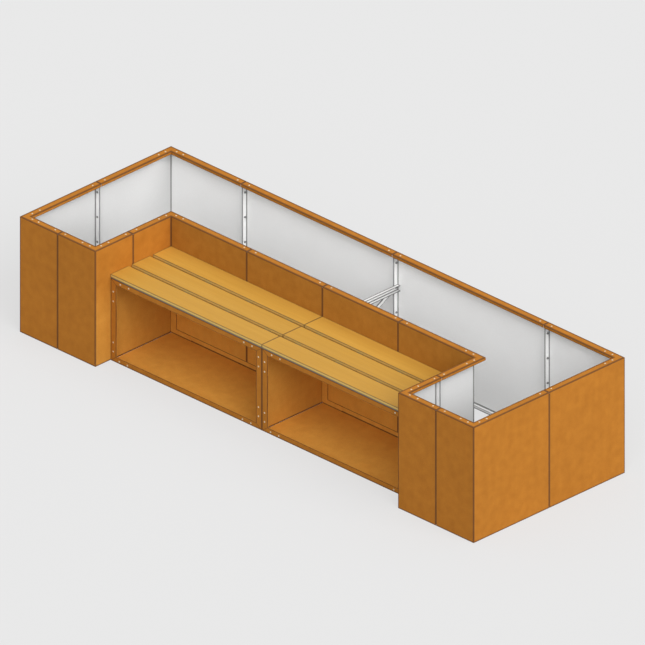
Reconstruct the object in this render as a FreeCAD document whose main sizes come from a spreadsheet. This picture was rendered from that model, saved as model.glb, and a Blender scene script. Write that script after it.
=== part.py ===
import FreeCAD, Part
import Sketcher
import math
import os
import re

# A street bench set into the front of a long planter of folded sheet-steel panels.
# Millimetres, +X along the bench, +Y to the back, +Z up. The origin is on the ground, under the
# middle of the whole. Places are written from the left front corner, and stand() moves them there.

SIZES = {
    # The planter's outline, seen from above: a U with its bay at the front.
    "overall_length": 3000,
    "overall_depth": 1000,
    "overall_height": 610,
    "arm_width": 500,
    "recess_depth": 500,
    # A wall panel's section: a web with a flange at its top and foot, each ending in a lip.
    "sheet": 2,
    "flange_width": 40,
    "lip_height": 15,
    # The upright flanges by which neighbouring panels are bolted together.
    "end_flange": 30,
    "bolt_inset": 15,
    "bolt_below_top": 52,
    "bolt_above_ground": 34,
    "bolt_count": 5,
    # Round-headed bolts with a square neck, held from turning by square-punched holes.
    "bolt_hole": 6.5,
    "bolt_neck": 6,
    "bolt_head_width": 12,
    "bolt_head": 3.5,
    "bolt_wrench": 10,
    "bolt_nut": 5,
    # The flat plates riveted behind the flanges at corners and joints.
    "plate_thickness": 3,
    "plate_clearance": 1,
    "corner_plate_leg": 132,
    "splice_length": 120,
    # The channel and the strut that tie the back wall to the wall behind the seat.
    "channel_height": 30,
    "channel_width": 20,
    "channel_sheet": 2,
    "channel_gap": 6,
    "brace_thickness": 4,
    "brace_clearance": 2,
    "brace_drop_bolts": 2,
    # The two open-fronted boxes that carry the seat.
    "bench_height": 435,
    "side_frame": 38,
    "edge_frame": 28,
    "seam_gap": 0.5,
    "bench_plate_leg": 132,
    # The seat: boards on flat bars. The boards and their gaps set the depth of the boxes.
    "board_rows": 3,
    "board_width": 120,
    "board_gap": 20,
    "board_thickness": 15,
    "board_edge": 2,
    "board_end_gap": 1,
    "flat_width": 40,
    "flat_thickness": 4,
    "cross_flat_inset": 80,
    "cross_flat_count": 4,
}

UPRIGHT = FreeCAD.Vector(0, 0, 1)
LENGTHWISE = FreeCAD.Vector(1, 0, 0)
CROSSWISE = FreeCAD.Vector(0, 1, 0)

# A corner panel's flanges point into its corner where the planter is inside it, and away from it
# where the corner is the bay's.
INTO_CORNER = 1
OUT_OF_CORNER = -1

BAY = "(overall_length - 2 * arm_width)"
MIDDLE = "overall_length / 2"
RIGHT_ARM = "(overall_length - arm_width)"
BENCH_DEPTH = "(board_rows * board_width + (board_rows - 1) * board_gap)"
BENCH_FRONT = "(recess_depth - %s)" % BENCH_DEPTH
BOLT_PITCH = "((overall_height - bolt_below_top - bolt_above_ground) / (bolt_count - 1))"
UNDER_PLATE = "(sheet + plate_thickness + plate_clearance)"

doc = FreeCAD.newDocument("BenchWithPlanter")
sheet = doc.addObject("Spreadsheet::Sheet", "Sizes")
for row, (alias, size) in enumerate(SIZES.items(), start=1):
    sheet.set("A%d" % row, alias)
    sheet.set("B%d" % row, str(size))
    sheet.setAlias("B%d" % row, alias)
doc.recompute()

parts = []


def bound(text):
    """Turn the size names in an expression into references to the sheet."""
    return re.sub("[a-z][a-z_]*", lambda word: refer(word.group()), text)


def refer(word):
    """Give the sheet's cell for a size name, and any other word as it is."""
    return "Sizes." + word if word in SIZES else word


def value_of(text):
    """Work out an expression from the sheet."""
    return float(sheet.evalExpression(bound(text)))


def bind(thing, settings):
    """Bind properties to expressions."""
    for name, text in settings.items():
        thing.setExpression(name, bound(text))


def stand(thing, x, y, z, turn=0, axis=UPRIGHT):
    """Put a piece at a place given from the left front corner, turned by degrees about an axis."""
    thing.Placement = FreeCAD.Placement(FreeCAD.Vector(), FreeCAD.Rotation(axis, turn))
    bind(thing, {
        "Placement.Base.x": "%s - overall_length / 2" % x,
        "Placement.Base.y": "%s - overall_depth / 2" % y,
        "Placement.Base.z": z,
    })


def new_body(label):
    """Start a sub-part."""
    body = doc.addObject("PartDesign::Body", label)
    body.Label = label
    return body


def origin_feature(body, role):
    """Find one of a body's own origin planes or axes."""
    return next(item for item in body.Origin.OriginFeatures if item.Role == role)


def sketch_on(body, role, name, offset="0"):
    """Start a sketch on an origin plane, moved along the plane's normal."""
    sketch = body.newObject("Sketcher::SketchObject", name)
    sketch.AttachmentSupport = [(origin_feature(body, role), "")]
    sketch.MapMode = "FlatFace"
    bind(sketch, {"AttachmentOffset.Base.z": offset})
    return sketch


def keep_at(sketch, kind, shape, end, text):
    """Hold a point of a shape at a distance from the sketch's origin along X or Y."""
    distance = value_of(text)
    if abs(distance) < 1e-9:
        own_axis = -2 if kind == "DistanceX" else -1
        sketch.addConstraint(Sketcher.Constraint("PointOnObject", shape, end, own_axis))
        return
    index = sketch.addConstraint(Sketcher.Constraint(kind, -1, 1, shape, end, distance))
    bind(sketch, {"Constraints[%d]" % index: text})


def keep_radius(sketch, shape, text):
    """Hold the radius of an arc or a circle."""
    index = sketch.addConstraint(Sketcher.Constraint("Radius", shape, value_of(text)))
    bind(sketch, {"Constraints[%d]" % index: text})


def points_of(corners):
    """Work out the corners of an outline."""
    return [FreeCAD.Vector(value_of(corner[0]), value_of(corner[1]), 0) for corner in corners]


def straight_outline(sketch, corners):
    """Draw a closed outline of straight lines through its corners."""
    points = points_of(corners)
    first = sketch.GeometryCount
    count = len(corners)
    for index in range(count):
        sketch.addGeometry(Part.LineSegment(points[index], points[(index + 1) % count]))
    for index, (x, y) in enumerate(corners):
        line_before = first + (index - 1) % count
        sketch.addConstraint(Sketcher.Constraint("Coincident", line_before, 2, first + index, 1))
        keep_at(sketch, "DistanceX", first + index, 1, x)
        keep_at(sketch, "DistanceY", first + index, 1, y)


def folded_outline(sketch, corners, radius):
    """Draw a closed outline of level and upright lines; a third item in a corner rounds it."""
    points = points_of(corners)
    count = len(corners)
    area = sum(points[i - 1].x * points[i].y - points[i].x * points[i - 1].y for i in range(count))
    if area < 0:
        corners = corners[::-1]
        points = points[::-1]
    reach = [value_of(radius) if len(corner) == 3 else 0 for corner in corners]
    ways = [(points[(i + 1) % count] - points[i]).normalize() for i in range(count)]
    first = sketch.GeometryCount
    for i in range(count):
        start = points[i] + ways[i] * reach[i]
        end = points[(i + 1) % count] - ways[i] * reach[(i + 1) % count]
        sketch.addGeometry(Part.LineSegment(start, end))
    for i, corner in enumerate(corners):
        line = first + i
        line_before = first + (i - 1) % count
        if corner[1] == corners[(i + 1) % count][1]:
            sketch.addConstraint(Sketcher.Constraint("Horizontal", line))
            keep_at(sketch, "DistanceY", line, 1, corner[1])
        else:
            sketch.addConstraint(Sketcher.Constraint("Vertical", line))
            keep_at(sketch, "DistanceX", line, 1, corner[0])
        if not reach[i]:
            sketch.addConstraint(Sketcher.Constraint("Coincident", line_before, 2, line, 1))
            continue
        centre = points[i] + (ways[i] - ways[i - 1]) * reach[i]
        start_angle = math.atan2(-ways[i].y, -ways[i].x)
        circle = Part.Circle(centre, UPRIGHT, reach[i])
        arc = sketch.addGeometry(Part.ArcOfCircle(circle, start_angle, start_angle + math.pi / 2))
        sketch.addConstraint(Sketcher.Constraint("Tangent", line_before, 2, arc, 1))
        sketch.addConstraint(Sketcher.Constraint("Tangent", arc, 2, line, 1))
        keep_radius(sketch, arc, radius)


def square_hole(sketch, x, y):
    """Draw the square-punched hole of a bolt about its middle."""
    left = "%s - bolt_hole / 2" % x
    right = "%s + bolt_hole / 2" % x
    low = "%s - bolt_hole / 2" % y
    high = "%s + bolt_hole / 2" % y
    straight_outline(sketch, [(left, low), (right, low), (right, high), (left, high)])


def pad(body, sketch, length, name, backwards=False):
    """Thicken a sketch along its normal."""
    feature = body.newObject("PartDesign::Pad", name)
    feature.Profile = sketch
    feature.Reversed = backwards
    bind(feature, {"Length": length})
    return feature


def pocket(body, sketch, depth, name, along_normal=False):
    """Cut a sketch out of a body, against its normal unless told otherwise."""
    doc.recompute()
    volume_before = body.Shape.Volume
    feature = body.newObject("PartDesign::Pocket", name)
    feature.Profile = sketch
    feature.Reversed = along_normal
    bind(feature, {"Length": depth})
    doc.recompute()
    if body.Shape.Volume > volume_before - 1:
        raise RuntimeError("%s of %s cuts nothing" % (name, body.Label))
    return feature


def repeat_upwards(body, holes, count="bolt_count"):
    """Repeat the lowest bolt holes up the height of a panel."""
    pattern = body.newObject("PartDesign::LinearPattern", "BoltRow")
    pattern.Originals = holes
    pattern.Direction = (origin_feature(body, "Z_Axis"), [""])
    bind(pattern, {"Length": "%s * (%s - 1)" % (BOLT_PITCH, count), "Occurrences": count})
    body.Tip = pattern


def add_part(piece):
    """Note a finished sub-part, to be checked and written."""
    parts.append(piece)
    return piece


def copies(label, placed):
    """Make one node of many like pieces: each entry is an original and its place."""
    links = []
    for index, (original, place) in enumerate(placed):
        link = doc.addObject("App::Link", "%s_%d" % (label, index))
        link.LinkedObject = original
        stand(link, *place)
        links.append(link)
    group = doc.addObject("Part::Compound", label)
    group.Label = label
    group.Links = links
    return add_part(group)


def flat_bar(label, length, width, thickness):
    """A flat bar along X."""
    bar = doc.addObject("Part::Box", label)
    bar.Label = label
    bind(bar, {"Length": length, "Width": width, "Height": thickness})
    return bar


# Wall panels. In a panel's own frame its outer face runs along +X and, on a corner panel, also
# along +Y; side says on which side of that face its flanges are.

def inwards(side, distance):
    """Give a distance from a panel's outer face to its flange side."""
    return "%d * (%s)" % (side, distance)


def panel_section(sketch, side):
    """Draw the lipped channel of a wall panel, its four folds rounded outside."""
    outer = inwards(side, "0")
    web = inwards(side, "sheet")
    lip = inwards(side, "flange_width - sheet")
    tip = inwards(side, "flange_width")
    top = "overall_height"
    folded_outline(sketch, [
        (outer, "0", "round"), (tip, "0", "round"), (tip, "lip_height"), (lip, "lip_height"),
        (lip, "sheet"), (web, "sheet"), (web, top + " - sheet"), (lip, top + " - sheet"),
        (lip, top + " - lip_height"), (tip, top + " - lip_height"), (tip, top, "round"),
        (outer, top, "round"),
    ], "sheet")


def bolting_flange(body, name, end, inner, side, crosswise=False):
    """Add the upright flange at an end of a panel, with the fold that joins it to the web."""
    step = "+" if inner else "-"
    places = {count: "%s %s %d * sheet" % (end, step, count) for count in (0, 1, 2)}
    face = inwards(side, "0")
    web = inwards(side, "sheet")
    edge = inwards(side, "end_flange")
    corners = [
        (places[2], face), (places[0], face, "round"), (places[0], edge), (places[1], edge),
        (places[1], web), (places[2], web),
    ]
    if crosswise:
        corners = [(corner[1], corner[0]) + corner[2:] for corner in corners]
    sketch = sketch_on(body, "XY_Plane", name + "Outline", UNDER_PLATE)
    folded_outline(sketch, corners, "sheet")
    pad(body, sketch, "overall_height - 2 * " + UNDER_PLATE, name)


def bolt_hole_along_x(body, name, beyond, side):
    """Cut the lowest bolt hole of a flange that faces along X."""
    sketch = sketch_on(body, "YZ_Plane", name + "Outline", beyond)
    square_hole(sketch, inwards(side, "bolt_inset"), "bolt_above_ground")
    return pocket(body, sketch, "2 * sheet", name)


def bolt_hole_along_y(body, name, beyond, side):
    """Cut the lowest bolt hole of a flange that faces along Y."""
    sketch = sketch_on(body, "XZ_Plane", name + "Outline", "-(%s)" % beyond)
    square_hole(sketch, inwards(side, "bolt_inset"), "bolt_above_ground")
    return pocket(body, sketch, "2 * sheet", name, along_normal=True)


def straight_panel(label, length, x, y, turn):
    """A flat wall panel, between two bolting flanges."""
    body = new_body(label)
    section = sketch_on(body, "YZ_Plane", "Section", "sheet")
    panel_section(section, INTO_CORNER)
    pad(body, section, "%s - 2 * sheet" % length, "Wall")
    bolting_flange(body, "NearFlange", "0", True, INTO_CORNER)
    bolting_flange(body, "FarFlange", length, False, INTO_CORNER)
    holes = [
        bolt_hole_along_x(body, "NearHole", "2 * sheet", INTO_CORNER),
        bolt_hole_along_x(body, "FarHole", length, INTO_CORNER),
    ]
    repeat_upwards(body, holes)
    stand(body, x, y, "0", turn)
    add_part(body)


def round_upright_fold(body):
    """Round the outer upright fold of a corner panel by the sheet's thickness."""
    sketch = sketch_on(body, "XY_Plane", "FoldOutline")
    radius = value_of("sheet")
    corner = FreeCAD.Vector()
    on_x = FreeCAD.Vector(radius, 0, 0)
    on_y = FreeCAD.Vector(0, radius, 0)
    circle = Part.Circle(on_x + on_y, UPRIGHT, radius)
    along_x = sketch.addGeometry(Part.LineSegment(corner, on_x))
    along_y = sketch.addGeometry(Part.LineSegment(on_y, corner))
    arc = sketch.addGeometry(Part.ArcOfCircle(circle, math.pi, 1.5 * math.pi))
    sketch.addConstraint(Sketcher.Constraint("Coincident", along_x, 1, -1, 1))
    sketch.addConstraint(Sketcher.Constraint("Coincident", along_y, 2, -1, 1))
    sketch.addConstraint(Sketcher.Constraint("Horizontal", along_x))
    sketch.addConstraint(Sketcher.Constraint("Vertical", along_y))
    sketch.addConstraint(Sketcher.Constraint("Tangent", along_x, 2, arc, 2))
    sketch.addConstraint(Sketcher.Constraint("Tangent", arc, 1, along_y, 1))
    keep_radius(sketch, arc, "sheet")
    pocket(body, sketch, "overall_height", "UprightFold", along_normal=True)


def corner_panel(label, side, leg_x, leg_y, x, y, turn, bare_top=None):
    """An L-shaped wall panel, its flanges and lips mitred at the corner.

    bare_top names the leg, "x" or "y", whose bolting flange has no bolt at the top.
    """
    body = new_body(label)
    section = sketch_on(body, "YZ_Plane", "Section", "%s - sheet" % leg_x)
    panel_section(section, side)
    path = sketch_on(body, "XY_Plane", "Path")
    ends = points_of([("%s - sheet" % leg_x, "0"), ("0", "0"), ("0", "%s - sheet" % leg_y)])
    path.addGeometry(Part.LineSegment(ends[0], ends[1]))
    path.addGeometry(Part.LineSegment(ends[1], ends[2]))
    path.addConstraint(Sketcher.Constraint("Coincident", 0, 2, -1, 1))
    path.addConstraint(Sketcher.Constraint("Coincident", 1, 1, -1, 1))
    keep_at(path, "DistanceX", 0, 1, "%s - sheet" % leg_x)
    keep_at(path, "DistanceY", 0, 1, "0")
    keep_at(path, "DistanceX", 1, 2, "0")
    keep_at(path, "DistanceY", 1, 2, "%s - sheet" % leg_y)
    wall = body.newObject("PartDesign::AdditivePipe", "Wall")
    wall.Profile = section
    wall.Spine = path
    wall.Transition = "Right corner"
    bolting_flange(body, "FlangeAlongX", leg_x, False, side)
    bolting_flange(body, "FlangeAlongY", leg_y, False, side, crosswise=True)
    if side == INTO_CORNER:
        round_upright_fold(body)
    holes = {
        "x": bolt_hole_along_x(body, "HoleAlongX", leg_x, side),
        "y": bolt_hole_along_y(body, "HoleAlongY", leg_y, side),
    }
    short_row = holes.pop(bare_top, None)
    repeat_upwards(body, list(holes.values()))
    if short_row:
        repeat_upwards(body, [short_row], "(bolt_count - 1)")
    stand(body, x, y, "0", turn)
    add_part(body)


def planter_walls():
    """The ring of twelve panels round the planter."""
    half_arm = "arm_width / 2"
    half_depth = "overall_depth / 2"
    half_recess = "recess_depth / 2"
    quarter_bay = BAY + " / 4"
    half_bay = BAY + " / 2"
    far = "overall_length"
    back = "overall_depth"
    corner_panel("wall_front_left", INTO_CORNER, half_arm, half_depth, "0", "0", 0)
    corner_panel("wall_back_left", INTO_CORNER, half_depth, "arm_width", "0", back, -90)
    straight_panel("wall_back_centre_left", half_bay, MIDDLE, back, 180)
    straight_panel("wall_back_centre_right", half_bay, RIGHT_ARM, back, 180)
    corner_panel("wall_back_right", INTO_CORNER, "arm_width", half_depth, far, back, 180)
    corner_panel("wall_front_right", INTO_CORNER, half_depth, half_arm, far, "0", 90)
    corner_panel("wall_arm_inner_left", INTO_CORNER, half_recess, half_arm, "arm_width", "0", 90, "x")
    corner_panel("wall_arm_inner_right", INTO_CORNER, half_arm, half_recess, RIGHT_ARM, "0", 0, "y")
    corner_panel("wall_recess_corner_left", OUT_OF_CORNER, half_recess, quarter_bay,
                 "arm_width", "recess_depth", -90, "x")
    corner_panel("wall_recess_corner_right", OUT_OF_CORNER, quarter_bay, half_recess,
                 RIGHT_ARM, "recess_depth", 180, "y")
    straight_panel("wall_recess_back_left", quarter_bay, "arm_width + " + quarter_bay,
                   "recess_depth", 0)
    straight_panel("wall_recess_back_right", quarter_bay, MIDDLE, "recess_depth", 0)


# Each joint between two panels: a point of the outer face, and the turn that brings +Y to the
# planter's side of it.
JOINTS = {
    "arm_front_left": ("arm_width / 2", "0", 0),
    "arm_front_right": ("overall_length - arm_width / 2", "0", 0),
    "back_left": ("arm_width", "overall_depth", 180),
    "back_middle": (MIDDLE, "overall_depth", 180),
    "back_right": (RIGHT_ARM, "overall_depth", 180),
    "end_left": ("0", "overall_depth / 2", -90),
    "end_right": ("overall_length", "overall_depth / 2", 90),
    "recess_side_left": ("arm_width", "recess_depth / 2", 90),
    "recess_side_right": (RIGHT_ARM, "recess_depth / 2", -90),
    "recess_back_left": ("arm_width + " + BAY + " / 4", "recess_depth", 0),
    "recess_back_middle": (MIDDLE, "recess_depth", 0),
    "recess_back_right": (RIGHT_ARM + " - " + BAY + " / 4", "recess_depth", 0),
}

# The joints beside the bench have no bolt at the top.
BARE_TOPPED = ("recess_side_left", "recess_side_right")

# Bolts counted from the top at which the channel and the strut are held.
CHANNEL_BOLT = 1
TIE_BOLTS = {
    ("back_middle", CHANNEL_BOLT),
    ("recess_back_middle", CHANNEL_BOLT),
    ("recess_back_middle", CHANNEL_BOLT + SIZES["brace_drop_bolts"]),
}


def bolt_level(index):
    """Give the height of a bolt counted from the top."""
    return "overall_height - bolt_below_top - %d * %s" % (index, BOLT_PITCH)


def prism(name, sides, corner_radius, height, x):
    """A many-sided bar along X on the bolt line of a joint."""
    bar = doc.addObject("Part::Prism", name)
    bar.Polygon = sides
    turned = FreeCAD.Rotation(CROSSWISE, 90).multiply(FreeCAD.Rotation(UPRIGHT, 180 / sides))
    bar.Placement = FreeCAD.Placement(FreeCAD.Vector(), turned)
    bind(bar, {
        "Circumradius": corner_radius,
        "Height": height,
        "Placement.Base.x": x,
        "Placement.Base.y": "bolt_inset",
    })
    return bar


def bolt_and_nut(name, nut_face, head_face):
    """A bolt with its nut, gripping from one face to the other. Its round head has eight sides here."""
    grip = "%s - (%s)" % (head_face, nut_face)
    pieces = [
        prism(name + "Head", 8, "bolt_head_width / 2", "bolt_head", head_face),
        prism(name + "Neck", 4, "bolt_neck / sqrt(2)", grip, nut_face),
        prism(name + "Nut", 6, "bolt_wrench / sqrt(3)", "bolt_nut", "%s - bolt_nut" % nut_face),
    ]
    bolt = doc.addObject("Part::MultiFuse", name)
    bolt.Shapes = pieces
    return bolt


def joint_fasteners():
    """The bolts of the panel joints, and the longer ones that also hold the ties."""
    bolt = bolt_and_nut("JointBolt", "-sheet", "sheet")
    placed = []
    for name, (x, y, turn) in JOINTS.items():
        top = 1 if name in BARE_TOPPED else 0
        for index in range(top, SIZES["bolt_count"]):
            if (name, index) not in TIE_BOLTS:
                placed.append((bolt, (x, y, bolt_level(index), turn)))
    copies("joint_bolts", placed)
    channel_face = "sheet + channel_sheet"
    brace_face = "-sheet - brace_thickness"
    brace_foot = CHANNEL_BOLT + SIZES["brace_drop_bolts"]
    back_line = "overall_depth - 2 * bolt_inset"
    copies("tie_bolts", [
        (bolt_and_nut("BackTieBolt", brace_face, channel_face),
         (MIDDLE, back_line, bolt_level(CHANNEL_BOLT))),
        (bolt_and_nut("ChannelBolt", "-sheet", channel_face),
         (MIDDLE, "recess_depth", bolt_level(CHANNEL_BOLT))),
        (bolt_and_nut("BraceFootBolt", brace_face, "sheet"),
         (MIDDLE, "recess_depth", bolt_level(brace_foot))),
    ])


def flange_plates():
    """The plates behind the top and bottom flanges, at the corners and the joints."""
    near = "sheet + plate_clearance"
    far = "flange_width - sheet - plate_clearance"
    leg = near + " + corner_plate_leg"
    levels = ("sheet", "overall_height - sheet - plate_thickness")

    corner = new_body("CornerPlate")
    outline = sketch_on(corner, "XY_Plane", "Outline")
    straight_outline(outline, [(near, near), (leg, near), (leg, far), (far, far), (far, leg), (near, leg)])
    pad(corner, outline, "plate_thickness", "Plate")
    inner_y = "recess_depth + flange_width"
    corners = [
        ("0", "0", 0), ("0", "overall_depth", -90), ("overall_length", "overall_depth", 180),
        ("overall_length", "0", 90), ("arm_width", "0", 90), (RIGHT_ARM, "0", 0),
        ("arm_width - flange_width", inner_y, -90), (RIGHT_ARM + " + flange_width", inner_y, 180),
    ]
    copies("corner_plates", [(corner, (x, y, z, turn)) for z in levels for x, y, turn in corners])

    splice = new_body("SplicePlate")
    outline = sketch_on(splice, "XY_Plane", "Outline")
    left = "-splice_length / 2"
    right = "splice_length / 2"
    straight_outline(outline, [(left, near), (right, near), (right, far), (left, far)])
    pad(splice, outline, "plate_thickness", "Plate")
    copies("splice_plates", [(splice, (x, y, z, turn)) for z in levels for x, y, turn in JOINTS.values()])


def tie_channel():
    """The channel between the middle joints of the back wall and of the wall behind the seat."""
    body = new_body("tie_channel")
    length = "overall_depth - recess_depth - 2 * channel_gap"
    section = sketch_on(body, "XZ_Plane", "Section")
    folded_outline(section, [
        ("0", "0", "round"), ("channel_width", "0"), ("channel_width", "channel_sheet"),
        ("channel_sheet", "channel_sheet"), ("channel_sheet", "channel_height - channel_sheet"),
        ("channel_width", "channel_height - channel_sheet"), ("channel_width", "channel_height"),
        ("0", "channel_height", "round"),
    ], "channel_sheet")
    pad(body, section, length, "Channel", backwards=True)
    holes = sketch_on(body, "YZ_Plane", "HoleOutlines", "2 * channel_sheet")
    square_hole(holes, "bolt_inset - channel_gap", "channel_height / 2")
    square_hole(holes, length + " - (bolt_inset - channel_gap)", "channel_height / 2")
    body.Tip = pocket(body, holes, "2 * channel_sheet", "Holes")
    stand(body, MIDDLE + " + sheet", "recess_depth + channel_gap",
          bolt_level(CHANNEL_BOLT) + " - channel_height / 2")
    add_part(body)


def tie_brace():
    """The round-ended strut from the channel's bolt at the back down to the wall behind the seat."""
    body = new_body("tie_brace")
    run = "(overall_depth - recess_depth - 2 * bolt_inset)"
    drop = "(brace_drop_bolts * %s)" % BOLT_PITCH
    slope = "atan(%s / %s)" % (drop, run)
    length = "sqrt(%s ^ 2 + %s ^ 2)" % (run, drop)
    radius = "(bolt_inset - sheet - brace_clearance)"
    outline = sketch_on(body, "YZ_Plane", "Outline")
    far = value_of(length)
    half = value_of(radius)
    low = outline.addGeometry(Part.LineSegment(FreeCAD.Vector(0, -half, 0), FreeCAD.Vector(far, -half, 0)))
    high = outline.addGeometry(Part.LineSegment(FreeCAD.Vector(far, half, 0), FreeCAD.Vector(0, half, 0)))
    far_circle = Part.Circle(FreeCAD.Vector(far, 0, 0), UPRIGHT, half)
    near_circle = Part.Circle(FreeCAD.Vector(), UPRIGHT, half)
    far_end = outline.addGeometry(Part.ArcOfCircle(far_circle, -math.pi / 2, math.pi / 2))
    near_end = outline.addGeometry(Part.ArcOfCircle(near_circle, math.pi / 2, 1.5 * math.pi))
    outline.addConstraint(Sketcher.Constraint("Tangent", low, 2, far_end, 1))
    outline.addConstraint(Sketcher.Constraint("Tangent", far_end, 2, high, 1))
    outline.addConstraint(Sketcher.Constraint("Tangent", high, 2, near_end, 1))
    outline.addConstraint(Sketcher.Constraint("Tangent", near_end, 2, low, 1))
    outline.addConstraint(Sketcher.Constraint("Coincident", near_end, 3, -1, 1))
    outline.addConstraint(Sketcher.Constraint("PointOnObject", far_end, 3, -1))
    keep_at(outline, "DistanceX", far_end, 3, length)
    keep_radius(outline, near_end, radius)
    pad(body, outline, "brace_thickness", "Bar")
    # The strut slopes, but the bolts' square necks stand level, so its holes are turned back.
    for name, place in (("FootHole", "0"), ("HeadHole", length)):
        hole = sketch_on(body, "YZ_Plane", name + "Outline", "brace_thickness")
        turned_back = FreeCAD.Rotation(UPRIGHT, -value_of(slope))
        hole.AttachmentOffset = FreeCAD.Placement(FreeCAD.Vector(), turned_back)
        bind(hole, {"AttachmentOffset.Base.x": place, "AttachmentOffset.Rotation.Angle": "-" + slope})
        square_hole(hole, "0", "0")
        body.Tip = pocket(body, hole, "brace_thickness", name)
    brace_foot = CHANNEL_BOLT + SIZES["brace_drop_bolts"]
    stand(body, MIDDLE + " - sheet - brace_thickness", "recess_depth + bolt_inset", bolt_level(brace_foot),
          value_of(slope), LENGTHWISE)
    bind(body, {"Placement.Rotation.Angle": slope})
    add_part(body)


# The boxes under the seat.

def bench_side(label, x, y, turn):
    """An upright side of a box: a web with a flange at its front and back, cut to the mitre."""
    body = new_body(label)
    section = sketch_on(body, "XY_Plane", "Section")
    depth = BENCH_DEPTH
    folded_outline(section, [
        ("0", "0", "round"), ("side_frame", "0"), ("side_frame", "sheet"), ("sheet", "sheet"),
        ("sheet", depth + " - sheet"), ("side_frame", depth + " - sheet"), ("side_frame", depth),
        ("0", depth, "round"),
    ], "sheet")
    pad(body, section, "bench_height", "Side")
    cuts = sketch_on(body, "XZ_Plane", "MitreOutlines")
    straight_outline(cuts, [("sheet", "0"), ("side_frame", "0"), ("side_frame", "edge_frame")])
    straight_outline(cuts, [
        ("sheet", "bench_height"), ("side_frame", "bench_height - edge_frame"),
        ("side_frame", "bench_height"),
    ])
    body.Tip = pocket(body, cuts, depth, "Mitres")
    stand(body, x, y, "0", turn)
    add_part(body)


def bench_sheet(label, x, y, z, turn):
    """The deck or floor of a box: a web with a flange at its front and back, cut to the mitre."""
    body = new_body(label)
    section = sketch_on(body, "YZ_Plane", "Section", "sheet + seam_gap")
    depth = BENCH_DEPTH
    width = BAY + " / 2"
    folded_outline(section, [
        ("0", "0", "round"), (depth, "0", "round"), (depth, "edge_frame"),
        (depth + " - sheet", "edge_frame"), (depth + " - sheet", "sheet"), ("sheet", "sheet"),
        ("sheet", "edge_frame"), ("0", "edge_frame"),
    ], "sheet")
    pad(body, section, width + " - 2 * (sheet + seam_gap)", "Sheet")
    cuts = sketch_on(body, "XZ_Plane", "MitreOutlines")
    near = "sheet + seam_gap"
    straight_outline(cuts, [(near, "0"), ("side_frame + seam_gap", "edge_frame"), (near, "edge_frame")])
    far = "%s - (%s)" % (width, near)
    straight_outline(cuts, [
        (far, "0"), (far, "edge_frame"), (width + " - side_frame - seam_gap", "edge_frame"),
    ])
    body.Tip = pocket(body, cuts, depth, "Mitres")
    stand(body, x, y, z, turn, LENGTHWISE)
    add_part(body)


def bench_plates(starts):
    """The L plates behind the mitred corners at the front and back of both boxes."""
    near = "sheet + plate_clearance"
    upright = "side_frame - plate_clearance"
    level = "edge_frame - plate_clearance"
    leg = near + " + bench_plate_leg"
    plate = new_body("BenchPlate")
    outline = sketch_on(plate, "XZ_Plane", "Outline")
    straight_outline(outline, [
        (near, near), (leg, near), (leg, level), (upright, level), (upright, leg), (near, leg),
    ])
    pad(plate, outline, "plate_thickness", "Plate", backwards=True)
    front = BENCH_FRONT + " + sheet"
    back = "recess_depth - sheet - plate_thickness"
    placed = []
    for start in starts:
        end = "%s + %s / 2" % (start, BAY)
        for face in (front, back):
            turned = face + " + plate_thickness"
            placed.append((plate, (start, face, "0")))
            placed.append((plate, (end, turned, "0", 180)))
            placed.append((plate, (start, turned, "bench_height", 180, LENGTHWISE)))
            placed.append((plate, (end, face, "bench_height", 180, CROSSWISE)))
    copies("bench_corner_plates", placed)


def board(label, x, row):
    """A board of the seat, its upper long edges eased."""
    body = new_body(label)
    section = sketch_on(body, "YZ_Plane", "Section")
    folded_outline(section, [
        ("0", "0"), ("board_width", "0"), ("board_width", "board_thickness", "round"),
        ("0", "board_thickness", "round"),
    ], "board_edge")
    pad(body, section, BAY + " / 2 - 2 * board_end_gap", "Board")
    stand(body, x + " + board_end_gap", "%s + %d * (board_width + board_gap)" % (BENCH_FRONT, row),
          "bench_height + flat_thickness")
    add_part(body)


def seat_flats(side_name, start):
    """The flat bars of one box: one along its front, one along its back, and those across."""
    length = BAY + " / 2 - 2 * board_end_gap"
    for edge, y in (("front", BENCH_FRONT), ("back", "recess_depth - flat_width")):
        bar = flat_bar("seat_flat_%s_%s" % (side_name, edge), length, "flat_width", "flat_thickness")
        stand(bar, start + " + board_end_gap", y, "bench_height")
        add_part(bar)
    across = flat_bar("CrossFlat" + side_name.title(), "flat_width", BENCH_DEPTH + " - 2 * flat_width",
                      "flat_thickness")
    span = "(%s / 2 - 2 * cross_flat_inset - flat_width)" % BAY
    placed = []
    for index in range(SIZES["cross_flat_count"]):
        x = "%s + cross_flat_inset + %s * %d / (cross_flat_count - 1)" % (start, span, index)
        placed.append((across, (x, BENCH_FRONT + " + flat_width", "bench_height")))
    copies("seat_cross_flats_" + side_name, placed)


def benches():
    """The two boxes, side by side in the bay, with the seat on them."""
    sides = {"left": "arm_width", "right": MIDDLE}
    for name, start in sides.items():
        end = "%s + %s / 2" % (start, BAY)
        bench_side("bench_%s_side_left" % name, start, BENCH_FRONT, 0)
        bench_side("bench_%s_side_right" % name, end, "recess_depth", 180)
        bench_sheet("bench_%s_floor" % name, start, BENCH_FRONT, "0", 0)
        bench_sheet("bench_%s_deck" % name, start, "recess_depth", "bench_height", 180)
        for row, place in enumerate(("front", "middle", "back")):
            board("board_%s_%s" % (name, place), start, row)
        seat_flats(name, start)
    bench_plates(sides.values())


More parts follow.
